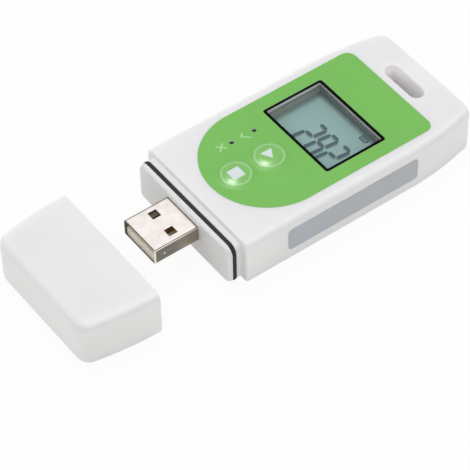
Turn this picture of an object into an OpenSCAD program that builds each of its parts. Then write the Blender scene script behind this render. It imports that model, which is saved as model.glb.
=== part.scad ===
// Temperature data logger on a USB plug, with a pull-off cap.
// The origin is the middle of the logger body's underside. +Y runs from the
// plug to the lanyard slot and +Z is up. Places along the body are measured
// from its shoulder, the end face that the seated cap meets.

/* [Body] */
// Length of the body, from the shoulder to the lanyard end
body_l = 68; // [67:0.1:76]
// Width of the body
body_w = 38.5; // [38.2:0.1:44]
// Thickness of the body
body_h = 12.7; // [12.5:0.1:14.5]
// Thickness of the side and end walls
side_wall = 2; // [1.8:0.1:2.2]
// Thickness of the top wall
top_wall = 1.6; // [1.5:0.1:1.8]
// Radius of the long top edges
top_edge_r = 2.1; // [1.8:0.1:2.6]
// Radius of the long bottom edges
low_edge_r = 0.9; // [0.6:0.1:1.1]
// Radius of the edges at the lanyard end
end_edge_r = 2.1; // [1.8:0.1:3]
// Small rounding of the shoulder's outer edge
shoulder_edge_r = 0.6; // [0.3:0.1:0.9]
// Length at the lanyard end over which the sides draw in
draw_l = 20.7; // [14:0.1:22]
// How far each side has drawn in at the lanyard end
side_draw = 2.9; // [1:0.1:3]

/* [Neck and seal] */
// Step from the body's side in to the neck's side
neck_side_step = 1.75; // [1.6:0.05:2]
// Step from the body's top down to the neck's top
neck_top_step = 1.15; // [1.1:0.05:1.4]
// Length of the neck
neck_l = 3.8; // [3.6:0.1:4.5]
// Height of the neck's underside above the body's underside
neck_low = 0.85; // [0.85:0.05:1.2]
// Radius of the neck's long top edges
neck_corner_r = 2.3; // [1.8:0.1:2.6]
// Radius of the neck's long bottom edges
neck_low_r = 1; // [0.95:0.05:1.3]
// Rounding of the neck's front edge at its top and sides
neck_front_r = 0.9; // [0.5:0.1:0.9]
// Rounding of the neck's front edge at its underside
neck_front_low_r = 0.3; // [0.2:0.05:0.5]
// Distance from the shoulder to the middle of the seal
seal_y = 2.05; // [1.9:0.05:2.2]
// Width of the rubber seal along the neck
seal_w = 1; // [0.9:0.05:1.2]
// Thickness of the rubber seal
seal_t = 0.9; // [0.8:0.05:0.95]
// How far the seal stands out of the neck
seal_proud = 0.15; // [0.1:0.05:0.2]

/* [Plug] */
// Width of the plug's metal shell
plug_w = 12; // [11.5:0.1:12.5]
// Height of the plug's metal shell
plug_h = 4.5; // [4.4:0.05:4.6]
// Length of the plug's metal shell in front of the neck
plug_out = 12; // [11:0.1:13]
// Length of the shell from the neck's face back to its end on the board
plug_in = 7.1; // [6.9:0.1:7.3]
// Thickness of the neck's wall above the plug
plug_roof = 1.7; // [1.65:0.05:2]
// Thickness of the shell's sheet metal
shell_t = 0.3; // [0.25:0.05:0.35]
// Outer radius of the shell's long edges
shell_r = 0.45; // [0.4:0.05:0.7]
// Side of a latch window in the shell
latch_w = 2.3; // [2:0.1:2.6]
// Distance of the latch windows from the shell's mouth
latch_y = 5.3; // [5:0.1:5.8]
// Spacing of the two latch windows across the shell
latch_pitch = 6.4; // [5.6:0.1:6.6]
// Width of one contact strip
contact_w = 1.1; // [0.9:0.1:1.3]
// Thickness of one contact strip
contact_t = 0.2; // [0.15:0.05:0.25]
// Height of the plastic tongue above the shell's floor
tongue_t = 1.85; // [1.7:0.05:1.95]

/* [Cap] */
// Length of the cap
cap_l = 19.6; // [19:0.1:24]
// Distance from the shoulder to the cap's mouth with the cap taken off
cap_off = 23.5; // [20:0.5:40]
// How far each side of the cap has drawn in at its closed end
cap_draw = 2.3; // [1:0.1:2.4]
// Thickness of the cap's closed end
cap_end_t = 1.8; // [1.5:0.1:2.2]
// Radius of the edges at the cap's closed end
cap_end_r = 2.5; // [1.8:0.1:2.8]
// Thickness of the two ribs that guide the plug inside the cap
cap_rib_t = 1; // [0.8:0.1:1.2]

/* [Front label] */
// Distance from the body's side in to the film's edge
label_side_gap = 3.2; // [3.1:0.05:4]
// Distance from the film's far edge to the body's lanyard end
label_end_gap = 11.2; // [11:0.1:12]
// Distance from the shoulder to the film's round near edge
label_near = 4.3; // [4:0.1:5]
// Radius of the film's far corners
label_corner_r = 2.5; // [1.5:0.1:3]
// Thickness of the film
label_t = 0.2; // [0.2:0.05:0.3]
// Depth of the shallow seat that the film lies in
label_seat = 0.15; // [0.1:0.05:0.15]

/* [Side label] */
// Length of the sticker on the body's side
side_label_l = 37.5; // [30:0.5:38]
// Distance from the sticker's upper edge to the start of the top rounding
side_label_gap = 1; // [0.8:0.1:1.4]
// Distance from the shoulder to the sticker's near end
side_label_y = 11.8; // [10:0.1:12]
// Height of the sticker's lower edge above the underside
side_label_z = 3.3; // [2.8:0.1:3.4]
// Radius of the sticker's corners
side_label_r = 1; // [0.5:0.1:1.5]
// Thickness of the sticker
side_label_t = 0.12; // [0.1:0.02:0.2]

/* [Display] */
// Width of the display window
window_w = 24.6; // [23.6:0.1:24.8]
// Length of the display window along the body
window_l = 17.25; // [16.5:0.05:17.5]
// Width of the black border printed round the window
border_w = 0.75; // [0.6:0.05:0.9]
// Radius of the window's corners
window_r = 0.7; // [0.5:0.1:1]
// Thickness of the clear window
window_t = 1; // [0.9:0.05:1]
// Depth of the display glass below the body's top
lcd_depth = 3.6; // [3.3:0.05:3.65]
// Thickness of the display glass
lcd_t = 1.2; // [1.1:0.05:1.25]
// How far the display glass reaches past the window's clear part
lcd_margin = 1; // [0.9:0.05:1.1]
// Thickness of the reflector behind the display glass
reflector_t = 0.2; // [0.15:0.05:0.25]
// Width of the rubber connector strips under the display glass
strip_w = 1.5; // [1.3:0.1:1.5]
// Thickness of the display holder's walls
holder_t = 0.8; // [0.7:0.05:0.9]

/* [Keys] */
// Share of the top face's free length that lies before the stop key
key_lead = 0.352; // [0.33:0.001:0.38]
// Radius of the round keys
key_r = 4; // [3.8:0.05:4.1]
// Distance between the middles of the two keys
key_pitch = 9.5; // [9.3:0.05:9.8]
// Gap between the start key and the window
key_gap = 3.175; // [2.9:0.025:3.4]
// Height of a key's dome above the film
key_dome = 0.42; // [0.3:0.05:0.6]
// Width of the flange that keeps a key in the body
key_flange_w = 0.45; // [0.35:0.05:0.5]
// Thickness of that flange
key_flange_t = 0.7; // [0.5:0.05:0.8]
// Travel of a key
key_travel = 0.3; // [0.2:0.05:0.35]
// Side of a push switch on the board
switch_side = 6; // [5:0.1:6.2]
// How far a switch's plunger stands out of it
plunger_out = 0.9; // [0.6:0.05:1.2]
// Radius of a switch plunger
plunger_r = 1.7; // [1.4:0.05:1.8]

/* [Indicators] */
// Radius of the indicator holes
lamp_hole_r = 0.62; // [0.55:0.01:0.8]
// Distance from the body's side in to the indicator holes
lamp_side_gap = 10.75; // [10.3:0.05:11.2]
// Distance between the two indicator holes
lamp_pitch = 6.45; // [5:0.05:8]
// How far the upper indicator hole lies beyond the start key's middle
lamp_lead = 1.95; // [1:0.05:2]
// How far the tips of the light guides lie below the film
guide_recess = 0.45; // [0.3:0.05:0.6]
// Radius of a light guide's wide foot
guide_foot_r = 1.2; // [1:0.05:1.4]

/* [Lanyard slot] */
// Length of the slot across the body
slot_l = 12.4; // [10:0.1:13]
// Width of the slot
slot_w = 3.5; // [3:0.1:3.6]
// Distance from the slot's middle to the body's lanyard end
slot_end_gap = 7.3; // [7.1:0.1:7.6]
// Rounding of the slot's rim
slot_rim_r = 0.8; // [0.4:0.1:1]
// Thickness of the wall round the slot
slot_wall = 1.4; // [1.2:0.1:1.5]

/* [Back cover] */
// Thickness of the back cover
cover_t = 1.2; // [1:0.05:1.3]
// Width of the body's rim round the cover
cover_rim = 1.25; // [1.15:0.05:1.3]
// Height of the skirt that stands inside the body
skirt_h = 2.6; // [2.2:0.1:3]
// Thickness of the skirt
skirt_t = 0.9; // [0.8:0.05:1]
// Thickness of the sealing ring under the cover's edge
gasket_t = 0.6; // [0.5:0.05:0.7]

/* [Circuit board] */
// Thickness of the circuit board
board_t = 1; // [0.8:0.05:1]
// How far the board's top lies above the plug's underside
board_sink = 0.9; // [0.85:0.05:1]
// How far the board reaches past its far screws
board_tail = 5.8; // [5:0.1:6]
// Radius of the board's corners
board_r = 1; // [0.5:0.1:1.5]
// Side of the microcontroller's body
chip_side = 7; // [6:0.1:7.2]
// Height of the microcontroller's body
chip_h = 1; // [0.9:0.05:1.05]
// Pitch of the microcontroller's leads
lead_pitch = 0.8; // [0.7:0.05:0.8]

/* [Cell] */
// Diameter of the coin cell
cell_d = 20; // [19:0.1:21]
// Gap between the strap under the coin cell and the back cover
cell_gap = 0.35; // [0.3:0.01:0.4]
// Thickness of the ring that holds the cell
cell_ring_t = 1.1; // [0.9:0.1:1.4]
// Width of the metal strap under the cell
strap_w = 4; // [3:0.1:6]
// Thickness of the strap
strap_t = 0.25; // [0.2:0.05:0.25]

/* [Fasteners] */
// Radius of a cover screw's shank
screw_r = 1; // [0.8:0.05:1.1]
// Radius of a cover screw's head
screw_head_r = 1.8; // [1.6:0.05:1.9]
// Height of a cover screw's head
screw_head_h = 0.9; // [0.7:0.05:1]
// Length of a cover screw's shank
screw_l = 5; // [4:0.1:5.5]
// Radius of the bosses that the cover screws bite into
boss_r = 2.1; // [1.9:0.05:2.2]
// Radius of a board screw's shank
board_screw_r = 0.8; // [0.6:0.05:0.85]
// Radius of a board screw's head
board_screw_head_r = 1.5; // [1.3:0.05:1.6]
// Length of a board screw's shank
board_screw_l = 4; // [3:0.1:4.5]
// Radius of the posts that the board is screwed to
post_r = 1.8; // [1.6:0.05:1.8]

/* [Clearances] */
// Clearance round a piece that sits still in another
fit = 0.05; // [0.02:0.01:0.08]
// Clearance between the neck and the seated cap
cap_fit = 0.3; // [0.25:0.01:0.35]
// Clearance round a key or a plunger
key_fit = 0.12; // [0.1:0.01:0.15]
// Clearance round the plug's shell in the neck
plug_fit = 0.06; // [0.05:0.01:0.1]
// Gap from the board's edge to the side walls
board_gap = 0.5; // [0.4:0.05:0.6]

/* [Hidden] */

$fn = 64;
// How far a cut runs past the face it opens
overrun = 1;
// Thickness of one slice of a lofted form, which lies before the slice's place
slice_t = 0.04;
// Steps in a lofted quarter round, in a small one, and along a curved side
round_steps = 6;
small_steps = 3;
side_steps = 5;
// Fineness of the rounds inside a loft
loft_fn = 32;
// How far a rib or boss runs into the wall that carries it
weld = 0.5;
// Radius of the edges inside the shell
inside_r = 0.8;

// Sizes and places that follow the body
straight_l = body_l - draw_l;
neck_w = body_w - 2 * neck_side_step;
neck_high = body_h - neck_top_step;
label_w = body_w - 2 * label_side_gap;
label_far = body_l - label_end_gap;
slot_y = body_l - slot_end_gap;
free_l = slot_y - slot_w / 2 - window_l - key_gap - key_pitch - 2 * key_r;
stop_y = key_lead * free_l + key_r;
start_y = stop_y + key_pitch;
window_y = start_y + key_r + key_gap + window_l / 2;
lamp_x = body_w / 2 - lamp_side_gap;
ok_y = start_y + lamp_lead;
alarm_y = ok_y - lamp_pitch;
side_label_h = body_h - top_edge_r - side_label_gap - side_label_z;

// Heights, from the underside up
plug_z = neck_high - plug_roof - plug_h / 2;
board_top = plug_z - plug_h / 2 + board_sink;
board_low = board_top - board_t;
ceiling_z = body_h - top_wall;
film_top = body_h - label_seat + label_t;
window_top = body_h - label_seat;
window_floor = window_top - window_t;
lcd_top = body_h - lcd_depth;
lcd_low = lcd_top - lcd_t;
ledge_z = cover_t + gasket_t;
tongue_top = plug_z - plug_h / 2 + shell_t + tongue_t;

// Key stack, from the ceiling down to the switch
flange_top = ceiling_z - fit;
flange_low = flange_top - key_flange_t;
switch_top = flange_low - plunger_out;
switch_h = switch_top - board_top;
// Thickness of a switch's lid and walls, and height of its plunger's foot
switch_lid_t = 0.3;
switch_foot_h = 0.6;
switch_wall = 0.6;
foot_top = switch_top - switch_lid_t - fit;
foot_low = foot_top - switch_foot_h;
foot_r = switch_side / 2 - switch_wall - key_fit;
switch_floor = foot_low - key_travel - fit;
// Size of a switch's four feet on the board
leg_w = 0.7;
leg_l = 1.1;
leg_t = 0.2;

// Display sizes that follow the window
clear_w = window_w - 2 * border_w;
clear_l = window_l - 2 * border_w;
lcd_w = clear_w + 2 * lcd_margin;
lcd_l = clear_l + 2 * lcd_margin;
// Width of the white ledge that shows between the window's border and the display holder
sight_gap = 0.35;
border_t = film_top - window_top;

// Places of the cover screws, as distance from the middle plane and from the shoulder
near_screw_x = body_w / 2 - side_wall - boss_r + fit * 4;
near_screw_y = side_wall + boss_r + weld;
far_screw_x = slot_l / 2 + slot_wall + boss_r + 2 * weld + skirt_t;
far_screw_y = slot_y;
// Height of the cover's cup over a screw head, and the cup's wall
cup_h = 2.3;
cup_wall = 0.8;

// Free space between neighbours on the board
board_space = 2.2;
// Places of the board posts
post_x = body_w / 2 - side_wall - post_r - board_gap;
near_post_y = start_y + board_space;
far_post_y = window_y + lcd_l / 2 + holder_t + post_r + board_space;
board_head_h = 0.8;

// The board's outline
board_w = body_w - 2 * side_wall - 2 * board_gap;
board_near = side_wall + board_gap;
board_far = far_post_y + board_tail;

// Small pieces on the board
lead_l = 0.9;
lead_w = 0.35;
lead_t = 0.15;
leads_per_side = 8;
chip_x = -(chip_side / 2 + lead_l + board_space / 2);
memory_w = 4.9;
memory_l = 3.9;
memory_h = 1;
memory_lead_l = 1;
memory_x = memory_w / 2 + board_space / 2;
crystal_l = 3.2;
crystal_w = 1.5;
crystal_h = 0.8;
crystal_x = memory_x + memory_w / 2 + board_space / 2 + crystal_w / 2;
sensor_r = 0.9;
sensor_leg_r = 0.2;
sensor_leg_gap = 1.2;
sensor_leg_h = 1.6;
part_l = 1.6;
part_w = 0.8;
part_h = 0.5;
part_pitch = 2.6;
lamp_l = 1.6;
lamp_w = 1;
lamp_h = 0.8;

// Size of a screw's cross recess, as shares of its head's radius
recess_l_share = 1.2;
recess_w_share = 0.36;

// Distance from the shell's mouth to the tips of the contacts and of the tongue
contact_tip = 1.3;
tongue_tip = 0.5;
// Spacing of the four contacts, and length of their soldered tails
contact_pitch = 2.4;
contact_tail = 1.4;
// Length and width of the tabs that hold the shell on the board
tab_l = 0.8;
tab_w = 1.5;

// Walls left round the two hollows in the neck, and in front of them
neck_web = 2.4;
neck_front_t = 1.4;
// How steeply the cap's sides draw in
cap_draw_power = 2;

// The cell's place under the board
cell_top = board_low - strap_t;
cell_low = cover_t + cell_gap + strap_t;
cell_h = cell_top - cell_low;
strap_leg_x = cell_d / 2 + cell_ring_t + 2 * fit;
cell_pad_r = 4;
// Radius of the steps on a coin cell's can
cell_step_r = 0.6;
cell_cap_h = 0.4;

module at_shoulder() {
    translate([0, -body_l / 2, 0]) children();
}

// A rounded rectangle centred on the origin
module round_rect(w, l, r) {
    square([w - 2 * r, l], center = true);
    square([w, l - 2 * r], center = true);
    for (x = [-1, 1], y = [-1, 1])
        translate([x * (w / 2 - r), y * (l / 2 - r)]) circle(r);
}

// A slot with round ends, centred on the origin and lying along X
module stadium(l, w) {
    square([l - w, w], center = true);
    for (x = [-1, 1]) translate([x * (l - w) / 2, 0]) circle(w / 2);
}

// Half the body's width at distance y from the shoulder
function half_width(y) =
    body_w / 2 - side_draw * pow(max(0, (y - straight_l) / (body_l - straight_l)), 2);

// Angles that split a quarter round into steps, without and with its start
function quarter() = [for (i = [1 : round_steps]) 90 * i / round_steps];
function small_quarter() = [for (i = [0 : small_steps]) 90 * i / small_steps];

// Slices of the body's form, each [distance, side inset, top inset, low inset]
function body_slices(inset, near_r, end_r, end_low_r) = concat(
    [for (a = small_quarter()) let (g = near_r * (1 - sin(a)))
        [inset + slice_t + near_r * (1 - cos(a)), inset + g, g, g]],
    [for (i = [0 : side_steps])
        let (y = straight_l + (body_l - inset - end_r - straight_l) * i / side_steps)
        [y, inset + body_w / 2 - half_width(y), 0, 0]],
    [for (a = quarter())
        let (y = body_l - inset - end_r * (1 - sin(a)), g = 1 - cos(a))
        [y, inset + body_w / 2 - half_width(y) + end_r * g, end_r * g, end_low_r * g]]);

// Slices of the cap's form, measured from its mouth; its sides start out straight
function cap_side_inset(y, straight) =
    cap_draw * pow(max(0, y - straight) / (cap_l - straight), cap_draw_power);
function cap_slices(length, straight, inset, end_r, end_low_r) = concat(
    [for (i = [0 : side_steps])
        let (y = slice_t + (length - end_r - slice_t) * i / side_steps)
        [y, inset + cap_side_inset(y, straight), 0, 0]],
    [for (a = quarter()) let (y = length - end_r * (1 - sin(a)), g = 1 - cos(a))
        [y, inset + cap_side_inset(y, straight) + end_r * g, end_r * g, end_low_r * g]]);

// A form lofted through slices of one rounded section
module loft(slices, half_w, low, high, top_r, low_r) {
    hull() for (s = slices)
        translate([0, s[0], 0]) rotate([90, 0, 0]) linear_extrude(slice_t)
            for (x = [-1, 1]) {
                translate([x * (half_w - s[1] - top_r), high - s[2] - top_r])
                    circle(top_r, $fn = loft_fn);
                translate([x * (half_w - s[1] - low_r), low + s[3] + low_r])
                    circle(low_r, $fn = loft_fn);
            }
}

// Outline of the body seen from above, drawn in by an inset
function plan_right(inset, near_r, far_r) = concat(
    [for (a = small_quarter())
        [body_w / 2 - inset - near_r * (1 - sin(a)), inset + near_r * (1 - cos(a))]],
    [for (i = [0 : side_steps])
        let (y = straight_l + (body_l - inset - far_r - straight_l) * i / side_steps)
        [half_width(y) - inset, y]],
    [for (a = quarter()) let (y = body_l - inset - far_r * (1 - sin(a)))
        [half_width(y) - inset - far_r * (1 - cos(a)), y]]);
module plan(inset, near_r, far_r) {
    right = plan_right(inset, near_r, far_r);
    left = [for (i = [len(right) - 1 : -1 : 0]) [-right[i][0], right[i][1]]];
    polygon(concat(right, left));
}

// Places of the four cover screws and of the four board posts
module at_cover_screws() {
    for (x = [-1, 1]) {
        translate([x * near_screw_x, near_screw_y, 0]) children();
        translate([x * far_screw_x, far_screw_y, 0]) children();
    }
}
module at_board_posts() {
    for (x = [-1, 1], y = [near_post_y, far_post_y]) translate([x * post_x, y, 0]) children();
}

// The neck's section, drawn in or out by an offset
module neck_section(grow) {
    half_w = neck_w / 2 + grow;
    low = neck_low - grow;
    high = neck_high + grow;
    top_r = neck_corner_r + grow;
    low_r = neck_low_r + grow;
    translate([-half_w, low + low_r]) square([2 * half_w, high - low - top_r - low_r]);
    translate([-half_w + top_r, low + low_r]) square([2 * (half_w - top_r), high - low - low_r]);
    translate([-half_w + low_r, low]) square([2 * (half_w - low_r), high - low - top_r]);
    for (x = [-1, 1]) {
        translate([x * (half_w - top_r), high - top_r]) circle(top_r);
        translate([x * (half_w - low_r), low + low_r]) circle(low_r);
    }
}

// A ring round the neck, between two offsets of its section
module neck_ring(inner, outer, y, length) {
    translate([0, y + length / 2, 0]) rotate([90, 0, 0]) linear_extrude(length) difference() {
        neck_section(outer);
        neck_section(inner);
    }
}

// The neck: a true extrusion behind a lofted, rounded front edge
module neck() {
    front = [for (a = small_quarter()) let (g = 1 - sin(a))
        [slice_t - neck_l + neck_front_r * (1 - cos(a)),
            neck_front_r * g, neck_front_r * g, neck_front_low_r * g]];
    loft(front, neck_w / 2, neck_low, neck_high, neck_corner_r, neck_low_r);
    translate([0, side_wall, 0]) rotate([90, 0, 0])
        linear_extrude(side_wall + neck_l - neck_front_r) neck_section(0);
}

// The rim of the lanyard slot, as the part that a rounding takes away
module slot_rim() {
    module corner() {
        difference() {
            translate([0, -slot_rim_r]) square([slot_rim_r, slot_rim_r + overrun]);
            translate([slot_rim_r, -slot_rim_r]) circle(slot_rim_r);
        }
    }
    for (y = [-1, 1]) translate([0, y * slot_w / 2, 0])
        rotate([90, 0, y * 90]) linear_extrude(slot_l - slot_w, center = true) corner();
    for (x = [-1, 1]) translate([x * (slot_l - slot_w) / 2, 0, 0])
        rotate_extrude() translate([slot_w / 2, 0]) corner();
}

module slot_cut() {
    translate([0, slot_y, -overrun]) linear_extrude(body_h + 2 * overrun) stadium(slot_l, slot_w);
}

module main_housing() {
    color("whitesmoke") at_shoulder() difference() {
        union() {
            difference() {
                union() {
                    loft(body_slices(0, shoulder_edge_r, end_edge_r, low_edge_r),
                        body_w / 2, 0, body_h, top_edge_r, low_edge_r);
                    neck();
                }
                // Inside of the deep shell, open at the underside
                translate([0, 0, -overrun]) linear_extrude(ceiling_z + overrun)
                    plan(side_wall, inside_r, inside_r);
            }
            // Wall round the lanyard slot, joined to the end wall
            translate([0, slot_y, cover_t + fit])
                linear_extrude(ceiling_z - cover_t + weld) {
                    stadium(slot_l + 2 * slot_wall, slot_w + 2 * slot_wall);
                    translate([-slot_l / 2, 0]) square([slot_l, body_l - side_wall + weld - slot_y]);
                }
            at_cover_screws() translate([0, 0, cup_h + fit])
                cylinder(r = boss_r, h = ceiling_z - cup_h + weld);
            at_board_posts() translate([0, 0, board_top])
                cylinder(r = post_r, h = ceiling_z - board_top + weld);
        }
        // Seat of the back cover, as deep as the cover and its sealing ring
        translate([0, 0, -overrun]) linear_extrude(overrun + cover_t)
            plan(cover_rim, low_edge_r, end_edge_r - cover_rim + fit);
        translate([0, 0, cover_t - fit]) linear_extrude(gasket_t + fit)
            difference() {
                plan(cover_rim, low_edge_r, end_edge_r - cover_rim + fit);
                translate([0, slot_y]) stadium(slot_l + 2 * slot_wall, slot_w + 2 * slot_wall);
            }
        slot_cut();
        translate([0, slot_y, body_h]) slot_rim();
        // Groove of the neck seal
        neck_ring(seal_proud - seal_t - fit, overrun, -seal_y, seal_w + 2 * fit);
        // Passage for the plug, and the two hollows beside it
        translate([-plug_w / 2 - plug_fit, -neck_l - overrun, plug_z - plug_h / 2 - plug_fit])
            cube([plug_w + 2 * plug_fit, neck_l + side_wall + 2 * overrun, plug_h + 2 * plug_fit]);
        for (x = [-1, 1])
            translate([x * (plug_w + neck_w) / 4, side_wall, (neck_low + neck_high) / 2])
                cube([(neck_w - plug_w) / 2 - 2 * neck_web, 2 * (side_wall + neck_l - neck_front_t),
                    neck_high - neck_low - 2 * neck_web], center = true);
        // Seat of the front film
        translate([0, 0, body_h - label_seat]) linear_extrude(overrun) label_outline(fit);
        // Seat of the window, and the opening under it, a little wider than the holder's
        translate([0, window_y, window_floor - fit]) linear_extrude(overrun + window_t)
            round_rect(window_w + 2 * fit, window_l + 2 * fit, window_r);
        translate([0, window_y, ceiling_z - overrun]) linear_extrude(overrun + top_wall)
            round_rect(clear_w + 2 * sight_gap, clear_l + 2 * sight_gap, window_r / 2);
        // Holes of the keys and the indicators
        for (y = [stop_y, start_y]) translate([0, y, ceiling_z - overrun])
            cylinder(r = key_r + key_fit, h = top_wall + 2 * overrun);
        for (y = [alarm_y, ok_y]) translate([-lamp_x, y, ceiling_z - overrun])
            cylinder(r = lamp_hole_r, h = top_wall + 2 * overrun);
        // Pilot holes of the screws
        at_cover_screws() cylinder(r = screw_r + fit, h = cup_h + screw_l);
        at_board_posts() translate([0, 0, board_top - overrun])
            cylinder(r = board_screw_r + fit, h = overrun + board_screw_l);
    }
}

module back_cover() {
    color("gainsboro") at_shoulder() difference() {
        union() {
            linear_extrude(cover_t) plan(cover_rim + fit, low_edge_r, end_edge_r - cover_rim);
            // Skirt that stands inside the walls
            linear_extrude(skirt_h) difference() {
                plan(side_wall + 2 * fit, inside_r, inside_r);
                plan(side_wall + 2 * fit + skirt_t, inside_r, inside_r);
                at_cover_screws() circle(boss_r + 2 * fit);
                translate([0, slot_y]) {
                    stadium(slot_l + 2 * slot_wall + 4 * fit, slot_w + 2 * slot_wall + 4 * fit);
                    translate([-slot_l / 2 - 2 * fit, 0]) square([slot_l + 4 * fit, body_l]);
                }
            }
            at_cover_screws() cylinder(r = screw_head_r + cup_wall, h = cup_h);
        }
        slot_cut();
        at_cover_screws() {
            translate([0, 0, -overrun]) cylinder(r = screw_r + 2 * fit, h = cup_h + 2 * overrun);
            translate([0, 0, -overrun])
                cylinder(r = screw_head_r + 2 * fit, h = overrun + screw_head_h + 2 * fit);
        }
        // Room for the cups beside the walls
        difference() {
            translate([0, 0, cover_t]) linear_extrude(body_h) plan(0, low_edge_r, end_edge_r);
            translate([0, 0, cover_t - overrun]) linear_extrude(body_h)
                plan(side_wall + 2 * fit, inside_r, inside_r);
        }
    }
}

module cover_gasket() {
    color("dimgray") at_shoulder() translate([0, 0, cover_t]) linear_extrude(gasket_t) difference() {
        plan(cover_rim + fit, low_edge_r, end_edge_r - cover_rim);
        plan(side_wall + fit, inside_r, inside_r);
    }
}

// A pan-head screw standing on its head, with a cross recess
module screw(shank_r, shank_l, head_r, head_h) {
    difference() {
        union() {
            cylinder(r = head_r, h = head_h);
            cylinder(r = shank_r, h = head_h + shank_l);
        }
        for (turn = [0, 90]) rotate(turn)
            cube([head_r * recess_l_share, head_r * recess_w_share, head_h], center = true);
    }
}

module cover_screws() {
    color("silver") at_shoulder() at_cover_screws() translate([0, 0, 2 * fit])
        screw(screw_r, screw_l, screw_head_r, screw_head_h);
}

module neck_seal() {
    module profile() {
        translate([seal_proud - seal_t / 2, 0]) round_rect(seal_t, seal_w, seal_t / 3);
    }
    // Straight runs and quarter turns round the neck's section
    top_x = neck_w / 2 - neck_corner_r;
    top_z = neck_high - neck_corner_r;
    low_x = neck_w / 2 - neck_low_r;
    low_z = neck_low + neck_low_r;
    module quarter_turn(x, z, r, turn) {
        translate([x, z, 0]) rotate(turn) rotate_extrude(angle = 90)
            translate([r, 0]) profile();
    }
    color("darkslategray") at_shoulder() translate([0, -seal_y, 0]) rotate([90, 0, 0]) {
        for (side = [[0, 1], [180, -1]]) rotate(side[0])
            translate([neck_w / 2, side[1] * (top_z + low_z) / 2, 0]) rotate([90, 0, 0])
                linear_extrude(top_z - low_z, center = true) profile();
        translate([0, neck_high, 0]) rotate([90, 0, 90])
            linear_extrude(2 * top_x, center = true) profile();
        rotate(180) translate([0, -neck_low, 0]) rotate([90, 0, 90])
            linear_extrude(2 * low_x, center = true) profile();
        quarter_turn(top_x, top_z, neck_corner_r, 0);
        quarter_turn(-top_x, top_z, neck_corner_r, 90);
        quarter_turn(-low_x, low_z, neck_low_r, 180);
        quarter_turn(low_x, low_z, neck_low_r, 270);
    }
}

module protective_cap() {
    low = neck_low - cap_fit;
    high = neck_high + cap_fit;
    corner_r = neck_corner_r + cap_fit;
    low_corner_r = neck_low_r + cap_fit;
    inset = (body_w - neck_w) / 2 - cap_fit;
    rib_x = plug_w / 2 + 2 * cap_fit;
    rib_near = neck_l + 2 * neck_front_r;
    color("whitesmoke") at_shoulder() translate([0, -cap_off, 0]) mirror([0, 1, 0]) {
        difference() {
            loft(cap_slices(cap_l, 0, 0, cap_end_r, low_edge_r), body_w / 2, 0, body_h,
                top_edge_r, low_edge_r);
            difference() {
                translate([0, -overrun, 0])
                    loft(cap_slices(cap_l - cap_end_t + overrun, rib_near, inset, shell_r, shell_r),
                        body_w / 2, low, high, corner_r, low_corner_r);
                for (x = [-1, 1]) translate([x * (rib_x + cap_rib_t / 2), rib_near + cap_l / 2, body_h / 2])
                    cube([cap_rib_t, cap_l, body_h], center = true);
            }
        }
    }
}

module shell_section(grow) {
    round_rect(plug_w + 2 * grow, plug_h + 2 * grow, shell_r + grow);
}

// Things that are drawn with the plug's mouth at the origin, +Y into the body
module at_plug() {
    at_shoulder() translate([0, -neck_l - plug_out, plug_z]) children();
}

module usb_shell() {
    length = plug_out + plug_in;
    color("silver") at_plug() {
        difference() {
            translate([0, length, 0]) rotate([90, 0, 0]) linear_extrude(length) difference() {
                shell_section(0);
                shell_section(-shell_t);
            }
            for (x = [-1, 1]) {
                translate([x * latch_pitch / 2, latch_y + latch_w / 2, 0])
                    cube([latch_w, latch_w, plug_h + overrun], center = true);
                // Small round dimple in each side near the mouth
                translate([x * (plug_w / 2 + shell_t), latch_y / 2, 0]) sphere(shell_r);
            }
        }
        // Tabs that are soldered to the board
        for (x = [-1, 1])
            translate([x * (plug_w / 2 + tab_w / 2 - shell_t / 2), length - tab_l,
                board_top - plug_z + shell_t / 2])
                cube([tab_w + shell_t, tab_l, shell_t], center = true);
    }
}

// Centre of contact number i of four
function contact_x(i) = (i - 1.5) * contact_pitch;

// One contact strip with its bent tail, drawn out by grow on its sides
module contact(grow) {
    w = contact_w + 2 * grow;
    t = contact_t + 2 * grow;
    rear = plug_out + plug_in + fit;
    top = tongue_top - plug_z + contact_t + grow;
    foot = board_top - plug_z;
    translate([-w / 2, contact_tip, top - t]) cube([w, rear - contact_tip, t]);
    translate([-w / 2, rear - t, foot]) cube([w, t, top - foot]);
    translate([-w / 2, rear - t, foot]) cube([w, contact_tail, contact_t]);
}

module usb_contacts() {
    color("gold") at_plug() for (i = [0 : 3]) translate([contact_x(i), 0, 0]) contact(0);
}

module usb_insulator() {
    inside_w = plug_w - 2 * shell_t - 2 * fit;
    inside_h = plug_h - 2 * shell_t - 2 * fit;
    floor_z = -plug_h / 2 + shell_t + fit;
    block_y = plug_out - neck_l / 2;
    length = plug_out + plug_in;
    color("tan") at_plug() difference() {
        union() {
            translate([-inside_w / 2, tongue_tip, floor_z])
                cube([inside_w, length - tongue_tip - contact_t - 2 * fit, tongue_t - fit]);
            translate([-inside_w / 2, block_y, floor_z])
                cube([inside_w, length - block_y - contact_t - 2 * fit, inside_h]);
        }
        for (i = [0 : 3]) translate([contact_x(i), 0, 0]) contact(fit);
    }
}

// Outline of the front film, drawn out by grow
module label_outline(grow) {
    w = label_w + 2 * grow;
    near_r = label_w / 2;
    round_y = label_near + near_r;
    corner = label_corner_r;
    translate([-w / 2, round_y]) square([w, label_far - corner + grow - round_y]);
    translate([-w / 2 + corner, round_y]) square([w - 2 * corner, label_far + grow - round_y]);
    for (x = [-1, 1]) translate([x * (w / 2 - corner), label_far + grow - corner]) circle(corner);
    translate([0, round_y]) circle(near_r + grow);
}

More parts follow.
